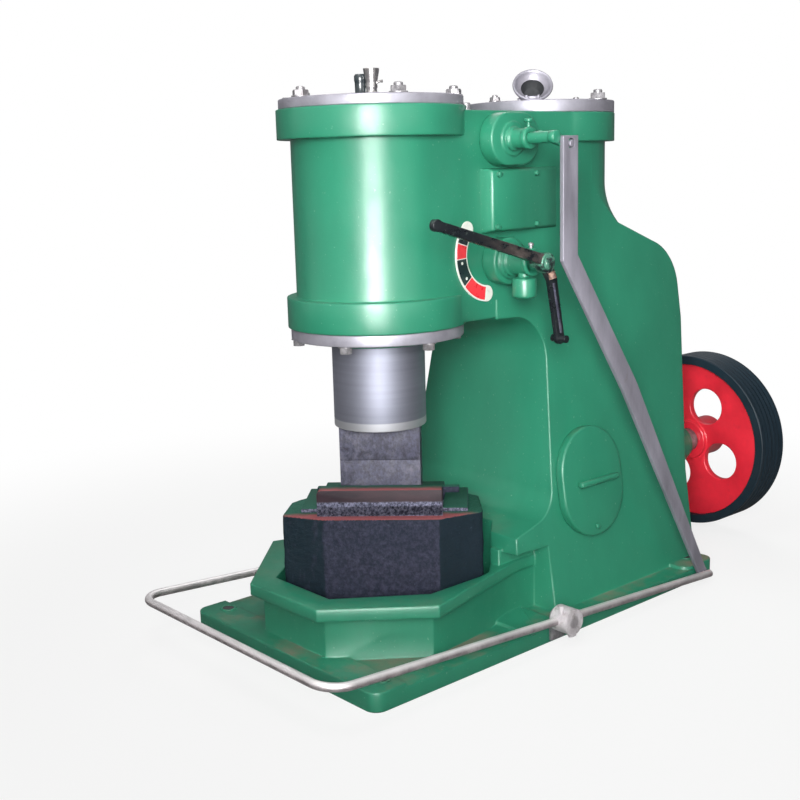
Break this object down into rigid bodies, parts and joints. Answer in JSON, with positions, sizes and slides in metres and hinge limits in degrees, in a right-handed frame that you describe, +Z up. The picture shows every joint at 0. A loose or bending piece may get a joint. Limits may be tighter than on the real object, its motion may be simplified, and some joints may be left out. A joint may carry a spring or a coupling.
{
  "type": "pneumatic forging hammer",
  "caption": "Self-contained pneumatic forging hammer with a one-piece frame, twin vertical cylinders, vertical ram over an octagonal anvil, foot treadle and rear belt wheel.",
  "frame": {"origin": "on the floor plane, on the vertical axis of the ram", "axes": "+Z up along the ram's stroke; -Y towards the operator's work side; +X towards the valve levers; the crankshaft and belt wheel turn about Y"},
  "size_m": [0.748, 1.6419, 1.265],
  "materials": {
    "green_paint": "glossy green enamel over cast iron, brush and dust marks on the flats",
    "machined_cover": "silver aluminium paint",
    "polished_ram": "ground and polished steel",
    "forged_steel": "mottled forged and machined die steel",
    "rusty_steel": "rough forged steel with a rusty film",
    "black_casting": "rough black-painted casting",
    "black_lever": "worn black paint",
    "bare_bar": "bare bar, dull grey",
    "red_paint": "glossy red paint",
    "black_rim": "dark grooved rim",
    "plain_steel": "turned steel",
    "plate_enamel": "enamelled plate with red and black fields"
  },
  "bodies": {
    "frame": {"frame_casting": "green_paint", "cylinder_cover": "machined_cover", "compressor_cover": "machined_cover", "lower_ring": "machined_cover", "ram_gland": "green_paint", "lower_die": "forged_steel", "sow_block": "rusty_steel", "die_key": "bare_bar", "anvil": "black_casting", "intake_elbow": "machined_cover", "air_cock_body": "green_paint", "air_cock_funnel": "plain_steel", "upper_valve_boss": "green_paint", "valve_chest_cover": "green_paint", "lower_valve_boss": "green_paint", "quadrant_plate": "plate_enamel", "oil_pot": "green_paint", "treadle_pivot_right": "plain_steel", "treadle_pivot_left": "plain_steel", "side_cover": "green_paint", "side_cover_handle": "green_paint", "rear_bearing": "green_paint"},
    "ram_body": {"ram": "polished_ram", "upper_die": "forged_steel"},
    "upper_valve": {"upper_valve_shaft": "plain_steel", "upper_valve_crank": "bare_bar"},
    "lower_valve": {"control_shaft": "plain_steel", "lever_hub": "black_lever", "control_lever": "black_lever", "hanging_lever": "black_lever"},
    "link": {"link_bar": "bare_bar"},
    "treadle_body": {"treadle": "bare_bar", "treadle_clamps": "plain_steel"},
    "belt_wheel": {"crankshaft": "plain_steel", "wheel_web": "red_paint", "wheel_rim": "black_rim"}
  },
  "joints": [
    {"name": "ram_slide", "type": "slide", "parent": "frame", "child": "ram_body", "axis": [0, 0, 1], "range_m": [0, 0.2]},
    {"name": "wheel_spin", "type": "hinge", "parent": "frame", "child": "belt_wheel", "pos_m": [0.05, 1.1, 0.258], "axis": [0, 1, 0], "continuous": true},
    {"name": "treadle_tilt", "type": "hinge", "parent": "frame", "child": "treadle_body", "pos_m": [0, 0.215, 0.056], "axis": [1, 0, 0], "range_deg": [0, 3]},
    {"name": "link_lift", "type": "slide", "parent": "frame", "child": "link", "axis": [0, 0, 1], "range_m": [0, 0.03]},
    {"name": "upper_valve_turn", "type": "hinge", "parent": "frame", "child": "upper_valve", "pos_m": [0.28, 0.214, 1.084], "axis": [1, 0, 0], "range_deg": [0, 46]},
    {"name": "control_turn", "type": "hinge", "parent": "frame", "child": "lower_valve", "pos_m": [0.3, 0.205, 0.829], "axis": [1, 0, 0], "range_deg": [0, 60]}
  ],
  "couplings": [
    {"joint": "link_lift", "follows": "treadle_tilt", "m_per_rad": 0.54},
    {"joint": "upper_valve_turn", "follows": "treadle_tilt", "ratio": 15}
  ]
}
